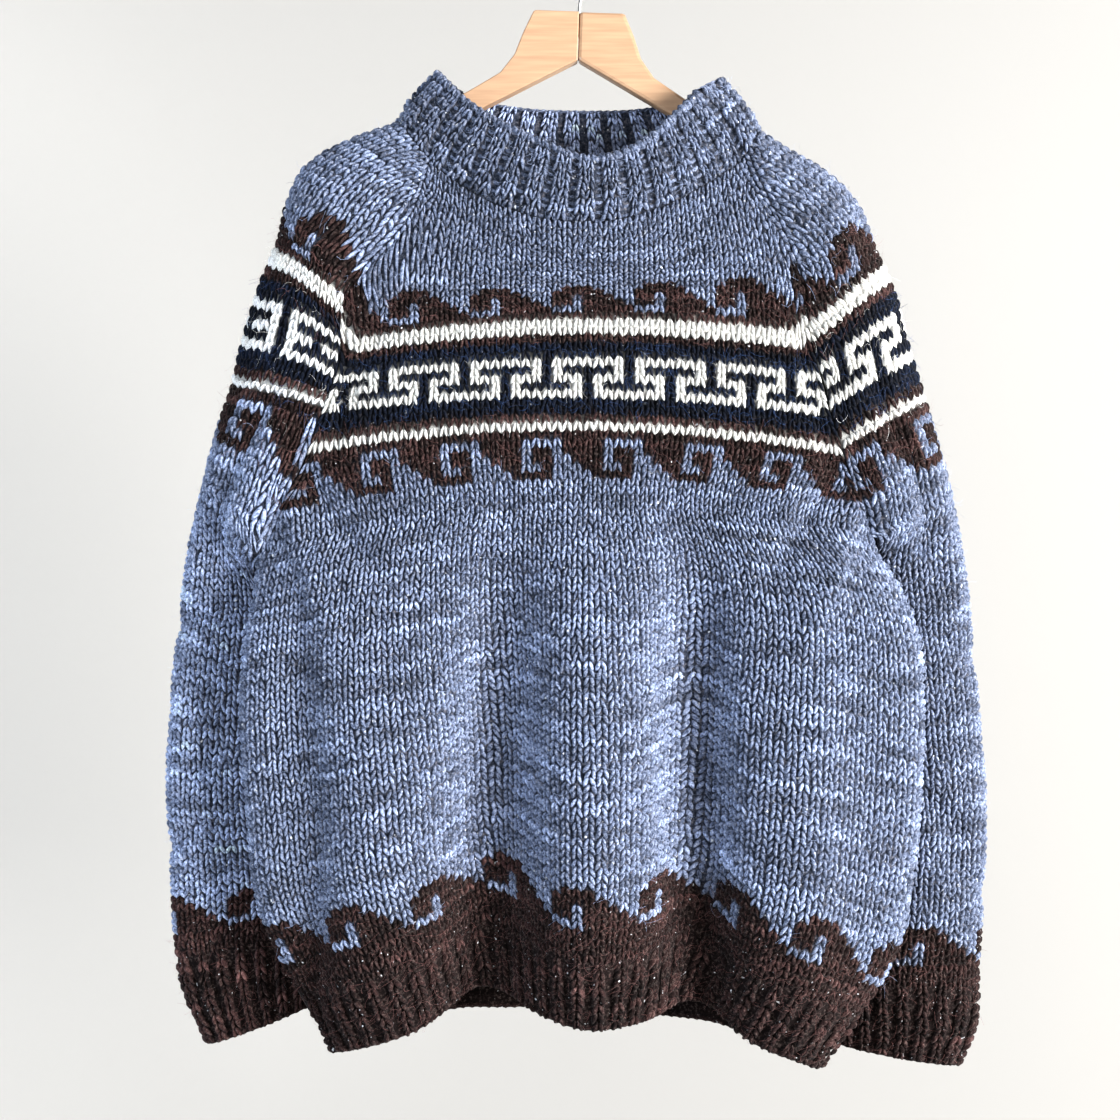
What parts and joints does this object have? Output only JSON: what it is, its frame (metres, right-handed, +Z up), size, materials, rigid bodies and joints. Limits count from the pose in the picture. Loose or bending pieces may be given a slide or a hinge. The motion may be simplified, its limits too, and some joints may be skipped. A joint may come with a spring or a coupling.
{
  "type": "knit sweater on hanger",
  "caption": "Bulky knit raglan sweater with a ribbed collar, hem and cuffs, hanging from a wooden hanger with a wire hook.",
  "frame": {"origin": "inner top of the hook, where it hangs on a rail or peg", "axes": "+Z up, -Y towards the front of the sweater, +X to the right as seen from the front"},
  "size_m": [0.6656, 0.1176, 0.9156],
  "materials": {
    "blue_wool": "heathered bulky wool, matt and slightly fuzzy",
    "brown_wool": "dark brown bulky wool, matt and slightly fuzzy",
    "hanger_wood": "clear satin lacquer",
    "hook_steel": "plain bent wire"
  },
  "bodies": {
    "root": {"body_front": "blue_wool", "body_back": "blue_wool", "sleeve_left": "blue_wool", "sleeve_right": "blue_wool", "collar": "blue_wool", "hem_rib": "brown_wool", "cuff_left": "brown_wool", "cuff_right": "brown_wool", "hanger_arm_left": "hanger_wood", "hanger_arm_right": "hanger_wood", "hanger_hook": "hook_steel"}
  },
  "joints": []
}
